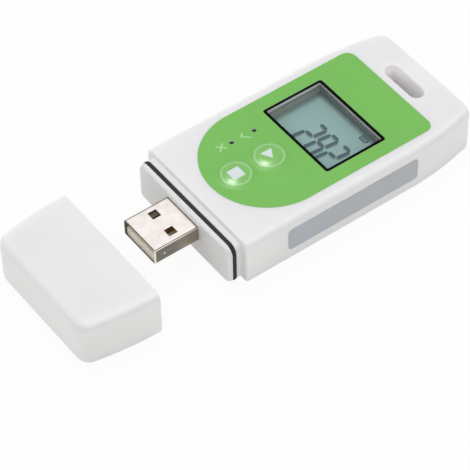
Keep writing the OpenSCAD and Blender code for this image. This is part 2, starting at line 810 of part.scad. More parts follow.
module front_label() {
    color("yellowgreen") at_shoulder() translate([0, 0, window_top]) linear_extrude(label_t)
        difference() {
            label_outline(0);
            translate([0, window_y]) round_rect(window_w + 2 * fit, window_l + 2 * fit, window_r);
            for (y = [stop_y, start_y]) translate([0, y]) circle(key_r + key_fit);
            for (y = [alarm_y, ok_y]) translate([-lamp_x, y]) circle(lamp_hole_r);
        }
}

module side_label() {
    color("lightslategray") at_shoulder()
        translate([body_w / 2, side_label_y + side_label_l / 2, side_label_z + side_label_h / 2])
            rotate([90, 0, 90]) linear_extrude(side_label_t)
                round_rect(side_label_l, side_label_h, side_label_r);
}

module window_border() {
    color("black") at_shoulder() translate([0, window_y, window_top]) linear_extrude(border_t)
        difference() {
            round_rect(window_w, window_l, window_r);
            round_rect(clear_w, clear_l, window_r / 2);
        }
}

module display_window() {
    color("lightcyan", 0.4) at_shoulder() translate([0, window_y, window_floor])
        linear_extrude(window_t) round_rect(window_w, window_l, window_r);
}

// Frame that stands on the board, holds the glass and lines the opening
module display_holder() {
    outer_w = lcd_w + 2 * fit + 2 * holder_t;
    outer_l = lcd_l + 2 * fit + 2 * holder_t;
    color("darkslategray") at_shoulder() translate([0, window_y, 0]) difference() {
        translate([0, 0, board_top]) linear_extrude(ceiling_z - fit - board_top)
            round_rect(outer_w, outer_l, holder_t);
        translate([0, 0, board_top - overrun]) linear_extrude(body_h)
            square([clear_w, clear_l], center = true);
        translate([0, 0, board_top - overrun]) linear_extrude(overrun + lcd_top + fit - board_top)
            square([lcd_w + 2 * fit, lcd_l + 2 * fit], center = true);
    }
}

module display_glass() {
    color("lightblue", 0.7) at_shoulder() translate([0, window_y, lcd_low]) linear_extrude(lcd_t)
        square([lcd_w, lcd_l], center = true);
}

module display_reflector() {
    color("lightgray") at_shoulder() translate([0, window_y, lcd_low - reflector_t])
        linear_extrude(reflector_t)
            square([lcd_w, lcd_l - 2 * strip_w - 4 * fit], center = true);
}

module display_connectors() {
    color("hotpink") at_shoulder() for (side = [-1, 1])
        translate([0, window_y + side * (lcd_l - strip_w) / 2, board_top])
            linear_extrude(lcd_low - board_top) square([clear_w, strip_w], center = true);
}

module circuit_board() {
    color("darkgreen") at_shoulder() translate([0, 0, board_low]) linear_extrude(board_t) difference() {
        intersection() {
            translate([0, (board_near + board_far) / 2])
                round_rect(board_w, board_far - board_near, board_r);
            plan(side_wall + board_gap, inside_r, inside_r);
        }
        // Notch round the plug, and clearances round the slot's wall and the screws
        translate([-plug_w / 2 - 2 * fit, 0])
            square([plug_w + 4 * fit, plug_in - neck_l + 2 * fit]);
        translate([0, slot_y]) stadium(slot_l + 2 * slot_wall + 2 * board_gap,
            slot_w + 2 * slot_wall + 2 * board_gap);
        at_cover_screws() circle(boss_r + board_gap);
        at_board_posts() circle(board_screw_r + 2 * fit);
    }
}

module board_screws() {
    color("silver") at_shoulder() at_board_posts() translate([0, 0, board_low - board_head_h])
        screw(board_screw_r, board_screw_l, board_screw_head_r, board_head_h);
}

// A key: a domed disc in the film's hole, with a flange under the top wall
module key() {
    dome_r = (key_r * key_r + key_dome * key_dome) / (2 * key_dome);
    intersection() {
        translate([0, 0, film_top + key_dome - dome_r]) sphere(dome_r, $fn = 128);
        translate([0, 0, flange_low]) cylinder(r = key_r, h = body_h);
    }
    translate([0, 0, flange_low]) cylinder(r = key_r + key_flange_w, h = key_flange_t);
}

module start_button() {
    color("yellowgreen") at_shoulder() translate([0, start_y, 0]) key();
}

module stop_button() {
    color("yellowgreen") at_shoulder() translate([0, stop_y, 0]) key();
}

// The plunger that a key presses, with the foot that its switch holds in
module plunger() {
    translate([0, 0, foot_low]) cylinder(r = foot_r, h = switch_foot_h);
    translate([0, 0, foot_low]) cylinder(r = plunger_r, h = flange_low - foot_low);
}

module start_plunger() {
    color("dimgray") at_shoulder() translate([0, start_y, 0]) plunger();
}

module stop_plunger() {
    color("dimgray") at_shoulder() translate([0, stop_y, 0]) plunger();
}

// A push switch: an open box with a lid that holds the plunger's foot in
module push_switch() {
    translate([0, 0, board_top]) {
        difference() {
            translate([-switch_side / 2, -switch_side / 2, 0]) cube([switch_side, switch_side, switch_h]);
            translate([0, 0, switch_floor - board_top])
                cylinder(r = foot_r + key_fit, h = switch_top - switch_lid_t - switch_floor);
            translate([0, 0, switch_floor - board_top])
                cylinder(r = plunger_r + key_fit, h = switch_h);
        }
        for (x = [-1, 1], y = [-1, 1])
            translate([x * (switch_side / 2 + leg_l / 2), y * switch_side / 3, leg_t / 2])
                cube([leg_l, leg_w, leg_t], center = true);
    }
}

module start_switch() {
    color("lightgray") at_shoulder() translate([0, start_y, 0]) push_switch();
}

module stop_switch() {
    color("lightgray") at_shoulder() translate([0, stop_y, 0]) push_switch();
}

module indicator_lamps() {
    color("ivory") at_shoulder() for (y = [alarm_y, ok_y])
        translate([-lamp_x - lamp_l / 2, y - lamp_w / 2, board_top]) cube([lamp_l, lamp_w, lamp_h]);
}

// Clear rods that carry each lamp's light to its hole
module light_guides() {
    guide_low = board_top + lamp_h;
    color("white", 0.6) at_shoulder() for (y = [alarm_y, ok_y]) translate([-lamp_x, y, guide_low]) {
        cylinder(r = guide_foot_r, h = ceiling_z - fit - guide_low);
        cylinder(r = lamp_hole_r - fit, h = film_top - guide_recess - guide_low);
    }
}

module microcontroller() {
    reach = chip_side / 2 + lead_l / 2 - lead_w / 2;
    color("dimgray") at_shoulder() translate([chip_x, window_y, board_top]) {
        translate([0, 0, lead_t + chip_h / 2]) cube([chip_side, chip_side, chip_h], center = true);
        for (turn = [0 : 90 : 270], i = [0 : leads_per_side - 1]) rotate(turn)
            translate([reach, (i - (leads_per_side - 1) / 2) * lead_pitch, lead_t])
                cube([lead_l + lead_w, lead_w, 2 * lead_t], center = true);
    }
}

module memory_chip() {
    color("dimgray") at_shoulder() translate([memory_x, window_y, board_top]) {
        translate([0, 0, lead_t + memory_h / 2]) cube([memory_w, memory_l, memory_h], center = true);
        for (side = [-1, 1], i = [0 : 3])
            translate([(i - 1.5) * memory_w / 4, side * memory_l / 2, lead_t])
                cube([lead_w, 2 * memory_lead_l, 2 * lead_t], center = true);
    }
}

module clock_crystal() {
    color("silver") at_shoulder() translate([crystal_x, window_y, board_top])
        linear_extrude(crystal_h) round_rect(crystal_w, crystal_l, crystal_w / 4);
}

module chip_components() {
    near_x = lamp_x + guide_foot_r + board_space;
    color("saddlebrown") at_shoulder() for (x = [near_x, near_x + board_space], row = [-1, 0, 1])
        translate([-x, alarm_y + row * part_pitch, board_top + part_h / 2])
            cube([part_w, part_l, part_h], center = true);
}

// A bead thermistor on two legs
module temperature_sensor() {
    color("black") at_shoulder() translate([-post_x / 2, far_post_y - sensor_leg_gap, board_top]) {
        translate([0, 0, sensor_leg_h + sensor_r / 2]) sphere(sensor_r);
        for (side = [-1, 1]) translate([side * sensor_leg_gap / 2, 0, 0])
            cylinder(r = sensor_leg_r, h = sensor_leg_h + sensor_r / 2);
    }
}

module coin_cell() {
    color("silver") at_shoulder() translate([0, window_y, cell_low]) {
        cylinder(d = cell_d, h = cell_h - cell_cap_h);
        cylinder(d = cell_d - 4 * cell_step_r, h = cell_h);
    }
}

module cell_holder() {
    holder_h = cell_h - cell_cap_h;
    color("black") at_shoulder() translate([0, window_y, board_low - holder_h]) difference() {
        cylinder(d = cell_d + 2 * fit + 2 * cell_ring_t, h = holder_h);
        translate([0, 0, -overrun]) cylinder(d = cell_d + 2 * fit, h = holder_h + 2 * overrun);
    }
}

module cell_strap() {
    leg_h = board_low - cell_low + strap_t;
    color("silver") at_shoulder() translate([0, window_y, cell_low - strap_t]) {
        translate([-strap_leg_x - strap_t, -strap_w / 2, 0])
            cube([2 * (strap_leg_x + strap_t), strap_w, strap_t]);
        for (x = [-1, 1]) translate([x * (strap_leg_x + strap_t / 2), 0, leg_h / 2])
            cube([strap_t, strap_w, leg_h], center = true);
    }
}

module cell_pad() {
    color("gold") at_shoulder() translate([0, window_y, cell_top]) cylinder(r = cell_pad_r, h = strap_t);
}

main_housing();
back_cover();
cover_gasket();
cover_screws();
neck_seal();
protective_cap();
usb_shell();
usb_insulator();
usb_contacts();
front_label();
side_label();
window_border();
display_window();
display_holder();
display_glass();
display_reflector();
display_connectors();
circuit_board();
board_screws();
start_button();
stop_button();
start_plunger();
stop_plunger();
start_switch();
stop_switch();
indicator_lamps();
light_guides();
microcontroller();
memory_chip();
clock_crystal();
chip_components();
temperature_sensor();
coin_cell();
cell_holder();
cell_strap();
cell_pad();
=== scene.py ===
"""Looks of a temperature data logger with a plug and a pull-off cap.

Lengths in this file are millimetres until mm() turns them into metres. The
frame is that of the solids: +Y runs from the plug to the lanyard slot, +Z is
up, and the origin is the middle of the logger body's underside.
"""

import bpy
import numpy as np
from mathutils import Matrix, Vector


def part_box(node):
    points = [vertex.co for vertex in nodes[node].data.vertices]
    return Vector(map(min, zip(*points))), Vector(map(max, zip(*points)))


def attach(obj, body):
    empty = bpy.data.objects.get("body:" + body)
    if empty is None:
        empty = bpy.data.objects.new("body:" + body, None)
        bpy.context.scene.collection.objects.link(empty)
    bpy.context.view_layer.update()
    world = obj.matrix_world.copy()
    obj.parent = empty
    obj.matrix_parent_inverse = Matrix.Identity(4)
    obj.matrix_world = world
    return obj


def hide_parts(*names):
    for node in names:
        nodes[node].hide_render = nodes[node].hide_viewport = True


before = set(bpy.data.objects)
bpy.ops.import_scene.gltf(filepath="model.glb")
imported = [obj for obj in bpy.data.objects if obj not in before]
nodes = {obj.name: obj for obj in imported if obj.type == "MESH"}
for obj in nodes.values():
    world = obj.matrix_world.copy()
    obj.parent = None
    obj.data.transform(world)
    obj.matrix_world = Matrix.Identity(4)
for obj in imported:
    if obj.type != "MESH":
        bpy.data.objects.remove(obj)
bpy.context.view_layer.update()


# Measures taken from the solids; those given as numbers lie inside a solid's box

def mm(values):
    """Millimetres to metres, for a number or an array."""
    return np.asarray(values, float) * 0.001


def box_mm(node):
    """Lowest and highest corner of a solid, in millimetres."""
    low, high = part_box(node)
    return np.array(low) * 1000, np.array(high) * 1000


def middle_mm(node):
    """Middle of a solid seen from above, in millimetres."""
    low, high = box_mm(node)
    return (low[:2] + high[:2]) / 2


housing_low, housing_high = box_mm("main_housing")
slot_mid = (0.0, housing_high[1] - 7.3)
film_top = box_mm("front_label")[1][2]

key_low, key_high = box_mm("start_button")
key_places = {side: middle_mm(side + "_button") for side in ("start", "stop")}
key_r = 4.0
dome_r = key_r + 0.09
dome_h = key_high[2] - film_top

glass_top = box_mm("display_glass")[1][2]
window_mid = middle_mm("window_border")
window_half = (11.55, 7.87)

lamp_low, lamp_high = box_mm("light_guides")
plug_mouth = box_mm("usb_shell")[0][1]
plug_half = 6.0


# Camera, at the photograph's place and focal length

def look_from_photo():
    """The camera. Its place and turn solve the photograph's straight edges."""
    turn = np.array([
        [0.5949362515738656, 0.8036232958803016, -0.015506607679287021],
        [0.5924103069957121, -0.4514471147788197, -0.6672672108856581],
        [-0.5432318885416101, 0.38779517902671307, -0.7446569776717031],
    ])
    place = mm([329.843, -258.784, 444.280])
    camera = bpy.data.objects.new("camera", bpy.data.cameras.new("camera"))
    bpy.context.scene.collection.objects.link(camera)
    camera.data.sensor_width = 36.0
    camera.data.lens = 198.86
    camera.data.clip_start = 0.01
    axes = (turn.T @ np.diag([1.0, -1.0, -1.0])).tolist()
    camera.matrix_world = Matrix.Translation(Vector(place)) @ Matrix(axes).to_4x4()
    bpy.context.scene.camera = camera


look_from_photo()


# Light, floor and background

def shown_ray(tree):
    """1 for rays from the camera and for mirrored and passing rays, 0 for the rest."""
    path = tree.nodes.new("ShaderNodeLightPath")
    first = tree.nodes.new("ShaderNodeMath")
    first.operation = "MAXIMUM"
    tree.links.new(path.outputs["Is Camera Ray"], first.inputs[0])
    tree.links.new(path.outputs["Is Glossy Ray"], first.inputs[1])
    second = tree.nodes.new("ShaderNodeMath")
    second.operation = "MAXIMUM"
    tree.links.new(first.outputs[0], second.inputs[0])
    tree.links.new(path.outputs["Is Transmission Ray"], second.inputs[1])
    return second.outputs[0]


def light_room():
    """A soft even room, white where it shows, with a soft lamp above, one at the right and one
    in front. A lamp has a name, a place, a width and a power."""
    room_level = 0.62
    lamps_aim = (0, -10, 5)
    scene = bpy.context.scene
    scene.view_settings.view_transform = "Standard"
    world = bpy.data.worlds.new("room")
    scene.world = world
    world.use_nodes = True
    tree = world.node_tree
    back = tree.nodes["Background"]
    back.inputs["Color"].default_value = (1.0, 1.0, 1.0, 1.0)
    strength = tree.nodes.new("ShaderNodeMapRange")
    strength.inputs["To Min"].default_value = room_level
    strength.inputs["To Max"].default_value = 1.0
    tree.links.new(shown_ray(tree), strength.inputs["Value"])
    tree.links.new(strength.outputs["Result"], back.inputs["Strength"])

    for name, place, size, power in (
        ("lamp_above", (-215, 30, 610), 165, 1.0),
        ("lamp_right", (410, 150, 240), 420, 0.29),
        ("lamp_near", (-90, -430, 190), 420, 0.19),
    ):
        lamp = bpy.data.lights.new(name, "AREA")
        lamp.shape = "DISK"
        lamp.size = float(mm(size))
        lamp.energy = power
        holder = bpy.data.objects.new(name, lamp)
        scene.collection.objects.link(holder)
        holder.location = Vector(mm(place))
        aim = Vector(mm(lamps_aim)) - holder.location
        holder.rotation_euler = aim.to_track_quat("-Z", "Y").to_euler()


def lay_floor():
    """A plain pale table top, a hair under the object, that keeps the object's shadow."""
    half, z = float(mm(1600)), float(mm(-0.03))
    white_share = 0.93
    mesh = bpy.data.meshes.new("table_top")
    mesh.from_pydata(
        [(-half, -half, z), (half, -half, z), (half, half, z), (-half, half, z)],
        [], [(0, 1, 2, 3)])
    table = bpy.data.objects.new("table_top", mesh)
    bpy.context.scene.collection.objects.link(table)
    material = bpy.data.materials.new("table_top")
    material.use_nodes = True
    tree = material.node_tree
    tree.nodes.clear()
    out = tree.nodes.new("ShaderNodeOutputMaterial")
    mix = tree.nodes.new("ShaderNodeMixShader")
    matt = tree.nodes.new("ShaderNodeBsdfDiffuse")
    matt.inputs["Color"].default_value = (0.93, 0.93, 0.93, 1)
    glow = tree.nodes.new("ShaderNodeEmission")
    share = tree.nodes.new("ShaderNodeMath")
    share.operation = "MULTIPLY"
    share.inputs[1].default_value = white_share
    tree.links.new(shown_ray(tree), share.inputs[0])
    tree.links.new(share.outputs[0], mix.inputs["Fac"])
    tree.links.new(matt.outputs[0], mix.inputs[1])
    tree.links.new(glow.outputs[0], mix.inputs[2])
    tree.links.new(mix.outputs[0], out.inputs["Surface"])
    mesh.materials.append(material)


light_room()
lay_floor()


# Finishes

def tone(r, g, b):
    """A colour as seen, 0 to 255, turned into the linear colour that shaders take."""
    c = np.array([r, g, b]) / 255.0
    linear = np.where(c <= 0.04045, c / 12.92, ((c + 0.055) / 1.055) ** 2.4)
    return (*linear.tolist(), 1.0)


class Finish:
    """One material, with the parts that most finishes of this object share."""

    def __init__(self, name, colour, roughness, **sockets):
        self.material = bpy.data.materials.new(name)
        self.material.use_nodes = True
        self.tree = self.material.node_tree
        self.shader = self.tree.nodes["Principled BSDF"]
        self.shader.inputs["Base Color"].default_value = colour
        self.shader.inputs["Roughness"].default_value = roughness
        for socket, value in sockets.items():
            self.shader.inputs[socket.replace("_", " ")].default_value = value
        self.colour = colour
        self.place = self.tree.nodes.new("ShaderNodeTexCoord").outputs["Object"]

    def stretched(self, scale):
        """Object coordinates scaled by three numbers."""
        turn = self.tree.nodes.new("ShaderNodeMapping")
        turn.inputs["Scale"].default_value = scale
        self.tree.links.new(self.place, turn.inputs["Vector"])
        return turn.outputs["Vector"]

    def noise(self, size_mm, detail=2.0, along=(1, 1, 1)):
        """Soft noise whose blots are about size_mm across, drawn out by along."""
        texture = self.tree.nodes.new("ShaderNodeTexNoise")
        texture.inputs["Scale"].default_value = 1000.0 / size_mm
        texture.inputs["Detail"].default_value = detail
        self.tree.links.new(self.stretched(tuple(1 / a for a in along)), texture.inputs["Vector"])
        return texture.outputs["Fac"]

    def ramp(self, source, stops):
        """A colour ramp over source, with (place, colour) stops."""
        ramp = self.tree.nodes.new("ShaderNodeValToRGB")
        line = ramp.color_ramp
        while len(line.elements) < len(stops):
            line.elements.new(0.5)
        for element, (place, colour) in zip(line.elements, stops):
            element.position = place
            element.color = colour
        self.tree.links.new(source, ramp.inputs["Fac"])
        return ramp.outputs["Color"]

    def spread(self, source, low, high, from_low=0.3, from_high=0.7):
        """source carried from one range of numbers to another."""
        node = self.tree.nodes.new("ShaderNodeMapRange")
        node.inputs["From Min"].default_value = from_low
        node.inputs["From Max"].default_value = from_high
        node.inputs["To Min"].default_value = low
        node.inputs["To Max"].default_value = high
        self.tree.links.new(source, node.inputs["Value"])
        return node.outputs["Result"]

    def blend(self, share, first, second):
        """Two colours mixed by share; each may be a colour or a socket."""
        mix = self.tree.nodes.new("ShaderNodeMix")
        mix.data_type = "RGBA"
        self.tree.links.new(share, mix.inputs["Factor"])
        for socket, colour in ((mix.inputs[6], first), (mix.inputs[7], second)):
            if isinstance(colour, tuple):
                socket.default_value = colour
            else:
                self.tree.links.new(colour, socket)
        return mix.outputs[2]

    def feed(self, socket, source):
        """Links a source to one of the shader's sockets."""
        self.tree.links.new(source, self.shader.inputs[socket])
        return self

    def paint(self, source):
        """Links a source to the shader's colour."""
        return self.feed("Base Color", source)

    def mottle(self, size_mm, amount, along=(1, 1, 1)):
        """Colour that wavers a little round the finish's own."""
        r, g, b, _ = self.colour
        dark = tuple(c * (1 - amount) for c in (r, g, b)) + (1.0,)
        light = tuple(min(1.0, c * (1 + amount)) for c in (r, g, b)) + (1.0,)
        return self.paint(self.ramp(self.noise(size_mm, 3, along), [(0.3, dark), (0.7, light)]))

    def sheen_marks(self, size_mm, low, high, along=(1, 1, 1)):
        """Roughness that wavers between low and high."""
        return self.feed("Roughness", self.spread(self.noise(size_mm, 3, along), low, high))

    def relief(self, height, depth_mm):
        """Bump from a height source."""
        bump = self.tree.nodes.new("ShaderNodeBump")
        bump.inputs["Distance"].default_value = depth_mm * 0.001
        self.tree.links.new(height, bump.inputs["Height"])
        return self.feed("Normal", bump.outputs["Normal"])

    def grain(self, size_mm, depth_mm):
        """Fine bump, as mould texture leaves it."""
        return self.relief(self.noise(size_mm, 2), depth_mm)

    def bands(self, scale, distortion=0.0):
        """Bands across the X axis."""
        wave = self.tree.nodes.new("ShaderNodeTexWave")
        wave.wave_type = "BANDS"
        wave.bands_direction = "X"
        wave.inputs["Scale"].default_value = scale
        wave.inputs["Distortion"].default_value = distortion
        wave.inputs["Detail"].default_value = 0.0
        self.tree.links.new(self.place, wave.inputs["Vector"])
        return wave.outputs["Fac"]

    def facing(self, axis):
        """How much the surface faces along an axis, either way, from 0 to 1."""
        geometry = self.tree.nodes.new("ShaderNodeNewGeometry")
        parts = self.tree.nodes.new("ShaderNodeSeparateXYZ")
        self.tree.links.new(geometry.outputs["Normal"], parts.inputs[0])
        size = self.tree.nodes.new("ShaderNodeMath")
        size.operation = "ABSOLUTE"
        self.tree.links.new(parts.outputs[axis], size.inputs[0])
        return size.outputs[0]

    def rise(self, length, start_mm, end_mm):
        """A share that rises softly from 0 to 1 as a length goes from start to end."""
        node = self.tree.nodes.new("ShaderNodeMapRange")
        node.interpolation_type = "SMOOTHSTEP"
        node.inputs["From Min"].default_value = start_mm * 0.001
        node.inputs["From Max"].default_value = end_mm * 0.001
        self.tree.links.new(length, node.inputs["Value"])
        return node.outputs["Result"]

    def along(self, axis, start_mm, end_mm):
        """A share that rises softly from 0 to 1 between two places on an axis."""
        parts = self.tree.nodes.new("ShaderNodeSeparateXYZ")
        self.tree.links.new(self.place, parts.inputs[0])
        return self.rise(parts.outputs[axis], start_mm, end_mm)

    def beside(self, place_mm, start_mm, end_mm):
        """A share that rises softly from 0 to 1 between two distances from an upright axis."""
        shift = self.tree.nodes.new("ShaderNodeMapping")
        shift.inputs["Location"].default_value = (-place_mm[0] * 0.001, -place_mm[1] * 0.001, 0)
        shift.inputs["Scale"].default_value = (1, 1, 0)
        self.tree.links.new(self.place, shift.inputs["Vector"])
        length = self.tree.nodes.new("ShaderNodeVectorMath")
        length.operation = "LENGTH"
        self.tree.links.new(shift.outputs["Vector"], length.inputs[0])
        return self.rise(length.outputs["Value"], start_mm, end_mm)

    def math(self, operation, first, second):
        """Two numbers put together by a Math node."""
        node = self.tree.nodes.new("ShaderNodeMath")
        node.operation = operation
        self.tree.links.new(first, node.inputs[0])
        self.tree.links.new(second, node.inputs[1])
        return node.outputs[0]

    def pass_light(self):
        """Lets the room's light through, so that what lies behind is lit."""
        out = self.tree.nodes["Material Output"]
        mix = self.tree.nodes.new("ShaderNodeMixShader")
        clear = self.tree.nodes.new("ShaderNodeBsdfTransparent")
        path = self.tree.nodes.new("ShaderNodeLightPath")
        passing = self.math("MAXIMUM", path.outputs["Is Shadow Ray"],
                            path.outputs["Is Diffuse Ray"])
        self.tree.links.new(passing, mix.inputs["Fac"])
        self.tree.links.new(self.shader.outputs[0], mix.inputs[1])
        self.tree.links.new(clear.outputs[0], mix.inputs[2])
        self.tree.links.new(mix.outputs[0], out.inputs["Surface"])
        return self


def painted_slot_glow(finish):
    """Painted glow inside the slot, as an emission strength that stands in for the light coming
    through
    the thin plastic: most high up at the slot's left end, least deep down and to the right."""
    top = housing_high[2]
    inside = finish.along("Z", top - 0.2, top - 1.4)
    for axis, mid, full, gone in (("X", slot_mid[0], 6.6, 7.2), ("Y", slot_mid[1], 1.9, 2.7)):
        for side in (-1, 1):
            inside = finish.math("MULTIPLY", inside,
                                 finish.along(axis, mid + side * gone, mid + side * full))
    height = finish.spread(finish.along("Z", top - 1.0, top - 6.0), 1.0, 0.15, 0.0, 1.0)
    left = finish.spread(finish.along("X", 2.0, -6.8), 0.07, 0.2, 0.0, 1.0)
    return finish.math("MULTIPLY", finish.math("MULTIPLY", inside, height), left)


def shell_white():
    """White moulded plastic that carries a little light inside, with a painted glow in the slot.
    Its tone on the rounds is painted highlight and shade, set by how much the surface faces up: one
    ramp on the rounds of the long sides and another on those of the ends."""
    # The emission colour is the lilac of the painted glow inside the slot.
    finish = Finish("housing_white", tone(243, 243, 244), 0.42, IOR=1.5, Subsurface_Weight=0.3,
                    Subsurface_Radius=(1.0, 1.0, 1.0), Subsurface_Scale=0.004,
                    Emission_Color=tone(246, 228, 246))
    # Painted glow inside the slot.
    finish.feed("Emission Strength", painted_slot_glow(finish))
    up = finish.facing("Z")
    # Painted highlight and shade on the rounds, by how much the surface faces up.
    long_round_painted_light = finish.ramp(up, [
        (0.0, tone(242, 242, 240)), (0.2, tone(240, 240, 239)), (0.45, tone(234, 234, 233)),
        (0.68, tone(244, 244, 245)), (0.88, tone(255, 255, 255)), (0.96, tone(250, 250, 251)),
        (1.0, tone(243, 243, 245))])
    end_round_painted_light = finish.ramp(up, [
        (0.0, tone(241, 241, 239)), (0.2, tone(239, 239, 237)), (0.5, tone(233, 234, 233)),
        (0.78, tone(243, 243, 244)), (0.93, tone(248, 248, 249)), (1.0, tone(243, 243, 245))])
    sideways = finish.spread(finish.facing("X"), 0.0, 1.0, 0.08, 0.35)
    clouds = finish.spread(finish.noise(9, 3), 0.0, 0.05)
    painted_round_light = finish.blend(sideways, end_round_painted_light, long_round_painted_light)
    finish.paint(finish.blend(clouds, painted_round_light, tone(205, 206, 208)))
    return finish.sheen_marks(3, 0.38, 0.48).grain(0.35, 0.006)


def label_film():
    """Green printed film, drawn up a little round each key; its cut edge is painted pale, a painted
    highlight where the edge catches the light.
    """
    finish = Finish("film_green", tone(116, 189, 81), 0.34, IOR=1.5)
    ink = finish.ramp(finish.noise(14, 3), [(0.3, tone(114, 187, 79)), (0.7, tone(118, 192, 83))])
    # Painted highlight: the film's cut edge, which faces sideways, is pale.
    top = finish.spread(finish.facing("Z"), 0.0, 1.0, 0.3, 0.6)
    finish.paint(finish.blend(top, tone(226, 242, 214), ink))
    skirt_h, skirt_out, skirt_in = 0.18, key_r + 1.5, key_r - 0.3
    near = [finish.beside(place, skirt_out, skirt_in) for place in key_places.values()]
    skirt = finish.math("MAXIMUM", *near)
    grain = finish.spread(finish.noise(0.22, 2), 0.0, 0.014)
    return finish.sheen_marks(5, 0.3, 0.4).relief(finish.math("ADD", skirt, grain), skirt_h)


def border_print():
    """Black print on clear sheet; its cut edges carry a painted highlight, near white on those
    facing along X and grey on those facing along Y.
    """
    finish = Finish("border_print", tone(2, 10, 4), 0.4, Specular_IOR_Level=0.03)
    ink = finish.ramp(finish.noise(2, 3), [(0.3, tone(1, 8, 3)), (0.7, tone(4, 13, 6))])
    top = finish.spread(finish.facing("Z"), 0.0, 1.0, 0.3, 0.6)
    # Painted highlight on the cut edges, brighter on those facing along X.
    edge = finish.blend(finish.facing("Y"), tone(250, 250, 250), tone(120, 126, 122))
    return finish.paint(finish.blend(top, edge, ink)).sheen_marks(2, 0.34, 0.46)


cover_white = (Finish("cover_white", tone(228, 228, 230), 0.5, IOR=1.5)
               .mottle(7, 0.015).sheen_marks(2, 0.46, 0.58).grain(0.25, 0.012))
key_green = (Finish("key_green", tone(114, 188, 78), 0.28, IOR=1.5, Specular_IOR_Level=1.0)
             .mottle(9, 0.03).sheen_marks(6, 0.27, 0.29))
housing_white = shell_white()
film_green = label_film()
print_pale = (Finish("print_pale", tone(166, 220, 150), 0.26, Specular_IOR_Level=0.9)
              .mottle(0.6, 0.03))
print_white = (Finish("print_white", tone(217, 230, 231), 0.26, Specular_IOR_Level=0.9)
               .mottle(0.6, 0.02))
sticker_grey = (Finish("sticker_grey", tone(178, 182, 187), 0.38, IOR=1.5)
                .mottle(4, 0.02).grain(0.18, 0.003))
seal_rubber = (Finish("seal_rubber", tone(36, 42, 39), 0.6, Specular_IOR_Level=0.25)
               .mottle(1.5, 0.08).grain(0.2, 0.01))
contact_gold = (Finish("contact_gold", tone(208, 186, 140), 0.25, Metallic=1.0)
                .mottle(1.0, 0.05, (1, 6, 1)).sheen_marks(0.6, 0.2, 0.34, (1, 6, 1)))
screw_zinc = (Finish("screw_zinc", tone(190, 190, 186), 0.34, Metallic=1.0)
              .mottle(0.8, 0.06).grain(0.25, 0.006))
cell_steel = (Finish("cell_steel", tone(200, 200, 196), 0.3, Metallic=1.0)
              .mottle(3, 0.03).sheen_marks(1.2, 0.24, 0.36, (1, 5, 1)))
window_clear = Finish("window_clear", (1, 1, 1, 1), 0.03, Transmission_Weight=1.0,
                      IOR=1.3).pass_light()
# Light guides painted dark for the shade in their holes, and partly clear.
guide_painted_dark = (Finish("guide_painted_dark", tone(60, 66, 58), 0.16, Transmission_Weight=0.4, IOR=1.45)
               .sheen_marks(0.4, 0.12, 0.22))
# Colour of the painted shadows of the display's figures.
lcd_shade = Finish("lcd_shade", tone(108, 138, 140), 0.6, Specular_IOR_Level=0.1).mottle(0.8, 0.03)
lcd_ink = Finish("lcd_ink", tone(62, 88, 95), 0.5, Specular_IOR_Level=0.1).mottle(0.8, 0.04)
reflector_foil = (Finish("reflector_foil", tone(205, 210, 208), 0.35, Metallic=0.8)
                  .mottle(1.5, 0.03).sheen_marks(0.5, 0.3, 0.45))
switch_plastic = (Finish("switch_plastic", tone(70, 72, 74), 0.5)
                  .mottle(1, 0.06).grain(0.2, 0.008))
plunger_plastic = (Finish("plunger_plastic", tone(120, 70, 48), 0.45)
                   .mottle(0.8, 0.05).grain(0.2, 0.006))
lamp_ivory = (Finish("lamp_ivory", tone(235, 230, 210), 0.4)
              .mottle(0.5, 0.04).grain(0.12, 0.004))
chip_black = (Finish("chip_black", tone(38, 38, 40), 0.6)
              .mottle(0.7, 0.1).grain(0.1, 0.006))
crystal_can = (Finish("crystal_can", tone(205, 203, 196), 0.25, Metallic=1.0)
               .mottle(0.6, 0.04, (1, 4, 1)).sheen_marks(0.4, 0.2, 0.32, (1, 4, 1)))
part_brown = (Finish("part_brown", tone(128, 98, 72), 0.5)
              .mottle(0.3, 0.12).grain(0.1, 0.004))
bead_black = (Finish("bead_black", tone(26, 26, 28), 0.25)
              .mottle(0.4, 0.1).sheen_marks(0.3, 0.2, 0.32))
ring_black = (Finish("ring_black", tone(32, 32, 34), 0.5)
              .mottle(1.5, 0.1).grain(0.25, 0.01))


def well_walls():
    """Dark holder painted with the light and shade of its well: walls facing along X lighter, far
    walls facing along Y darker, each turning from a warm grey at the top to a greenish one at the
    glass.
    """
    finish = Finish("well_walls", tone(92, 90, 82), 0.5, Specular_IOR_Level=0.2)
    up = finish.along("Z", glass_top, glass_top + 2.0)
    # Painted light and shade: walls facing along X lighter, far walls facing along Y darker, both
    # changing with height.
    side = finish.blend(up, tone(134, 152, 144), tone(134, 144, 136))
    far = finish.blend(up, tone(74, 96, 92), tone(94, 108, 106))
    finish.paint(finish.blend(finish.facing("Y"), side, far))
    return finish.grain(0.3, 0.01)


def display_face():
    """Display glass, with a painted soft shadow along the two edges that the walls of its well
    shade.
    """
    finish = Finish("display_face", tone(141, 171, 169), 0.5, Specular_IOR_Level=0.1)
    ground = finish.ramp(finish.noise(8, 3), [
        (0.3, tone(142, 177, 174)), (0.7, tone(146, 181, 178))])
    left, far = window_mid[0] - window_half[0], window_mid[1] + window_half[1]
    # Painted shadow along the left and far edges.
    ground = finish.blend(finish.along("X", left + 1.8, left), ground, tone(124, 150, 143))
    ground = finish.blend(finish.along("Y", far - 1.6, far), ground, tone(90, 120, 116))
    return finish.paint(ground).sheen_marks(3, 0.45, 0.55)


